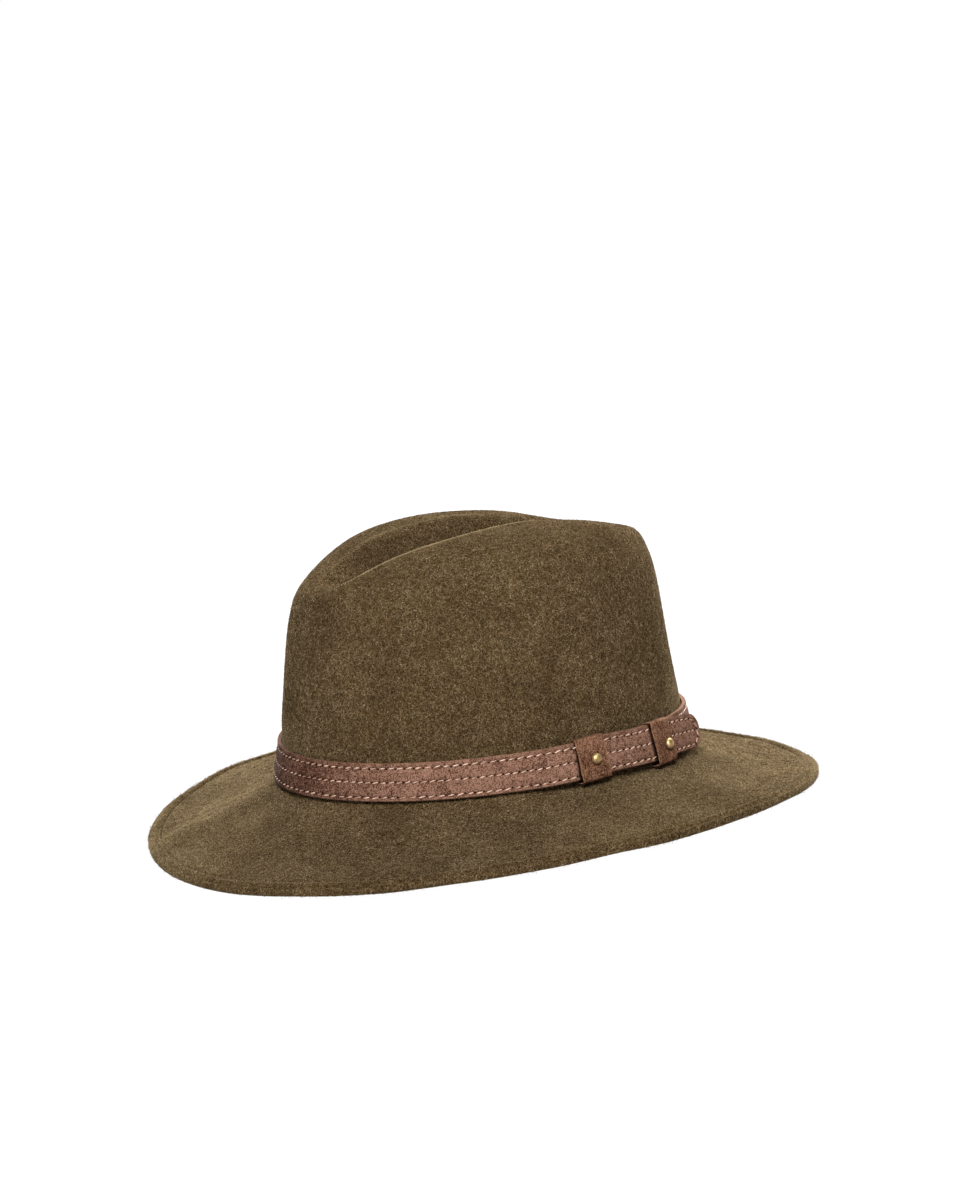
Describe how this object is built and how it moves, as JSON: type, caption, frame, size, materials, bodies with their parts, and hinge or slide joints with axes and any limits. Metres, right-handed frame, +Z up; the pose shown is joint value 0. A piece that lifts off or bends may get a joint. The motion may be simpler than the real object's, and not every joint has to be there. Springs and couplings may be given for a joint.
{
  "type": "wide-brim hat",
  "caption": "Wide-brim wool felt hat with a creased, pinched crown, a stitched brim edge and a leather strap held by riveted leather keepers.",
  "frame": {"origin": "on the surface the brim rests on, under the middle of the hat", "axes": "the front of the hat points along -Y, the wearer's left is +X, and +Z is up from the surface the brim rests on"},
  "size_m": [0.2884, 0.3257, 0.1366],
  "materials": {
    "felt": "matte olive-brown wool felt with a short nap",
    "strap_leather": "matte napped brown leather with cream stitching in rows",
    "keeper_leather": "matte napped dark brown leather",
    "brass": "antique brass, satin"
  },
  "bodies": {
    "root": {"felt_body": "felt", "hat_band": "strap_leather", "keeper_front": "keeper_leather", "keeper_rear": "keeper_leather", "rivet_front": "brass", "rivet_rear": "brass"}
  },
  "joints": []
}
